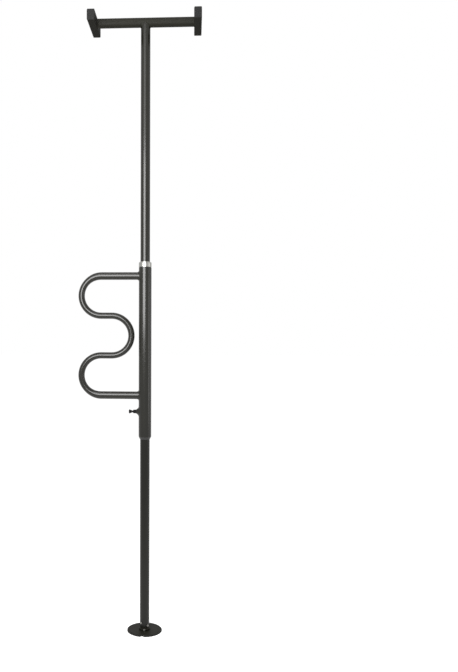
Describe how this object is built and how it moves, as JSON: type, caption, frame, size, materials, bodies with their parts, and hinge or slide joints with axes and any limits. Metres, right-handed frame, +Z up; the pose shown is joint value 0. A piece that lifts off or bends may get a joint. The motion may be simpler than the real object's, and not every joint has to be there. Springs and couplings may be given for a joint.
{
  "type": "transfer pole",
  "caption": "Floor-to-ceiling transfer pole: a screw jack wedges it under an H-shaped ceiling bracket, and a wave-shaped grab bar swings round it and locks with a pull plunger.",
  "frame": {"origin": "on the floor at the pole's axis, the middle of the floor pad's underside", "axes": "+Z up the pole; the grab bar reaches to -X at rest and its wave lies in the XZ plane, as the ceiling bracket's crossbar does"},
  "size_m": [0.4925, 0.207, 2.445],
  "materials": {
    "powder_coat": "gloss dark bronze powder coat on steel tube",
    "zinc_plate": "bright zinc plate on turned steel",
    "black_steel": "blackened steel",
    "nylon": "black moulded nylon",
    "rubber": "black non-slip rubber"
  },
  "bodies": {
    "root": {"floor_pad": "rubber", "base_plate": "powder_coat", "foot_collar": "powder_coat", "foot_spigot": "powder_coat", "foot_bolts": "zinc_plate", "foot_nuts": "zinc_plate", "lower_pole": "powder_coat", "jack_plug": "zinc_plate", "jack_screw": "zinc_plate"},
    "upper_pole": {"upper_pole": "powder_coat", "thrust_washer": "zinc_plate", "guide_bush": "nylon", "crossbar": "powder_coat", "end_bar_left": "powder_coat", "end_bar_right": "powder_coat", "end_caps": "nylon", "ceiling_pad_left": "rubber", "ceiling_pad_right": "rubber"},
    "jack_nut": {"jack_nut": "zinc_plate"},
    "grab_bar": {"grab_sleeve": "powder_coat", "upper_bushing": "nylon", "lower_bushing": "nylon", "curve_handle": "powder_coat", "plunger_boss": "powder_coat", "plunger_barrel": "black_steel", "plunger_spring": "zinc_plate"},
    "plunger": {"plunger_pin": "black_steel", "plunger_knob": "black_steel"}
  },
  "joints": [
    {"name": "upper_pole_lift", "type": "slide", "parent": "root", "child": "upper_pole", "axis": [0, 0, 1], "range_m": [0, 0.05]},
    {"name": "jack_nut_turn", "type": "hinge", "parent": "upper_pole", "child": "jack_nut", "pos_m": [0, 0, 1.45675], "axis": [0, 0, 1], "range_deg": [0, 3600]},
    {"name": "grab_bar_swing", "type": "hinge", "parent": "root", "child": "grab_bar", "pos_m": [0, 0, 1.1], "axis": [0, 0, 1], "continuous": true},
    {"name": "plunger_slide", "type": "slide", "parent": "grab_bar", "child": "plunger", "axis": [-1, 0, 0], "range_m": [-0.006, 0], "stiffness_N_per_m": 500, "springref_m": -0.01, "deforming": ["plunger_spring"]}
  ],
  "couplings": [
    {"joint": "jack_nut_turn", "follows": "upper_pole_lift", "rad_per_m": 1256.6}
  ]
}
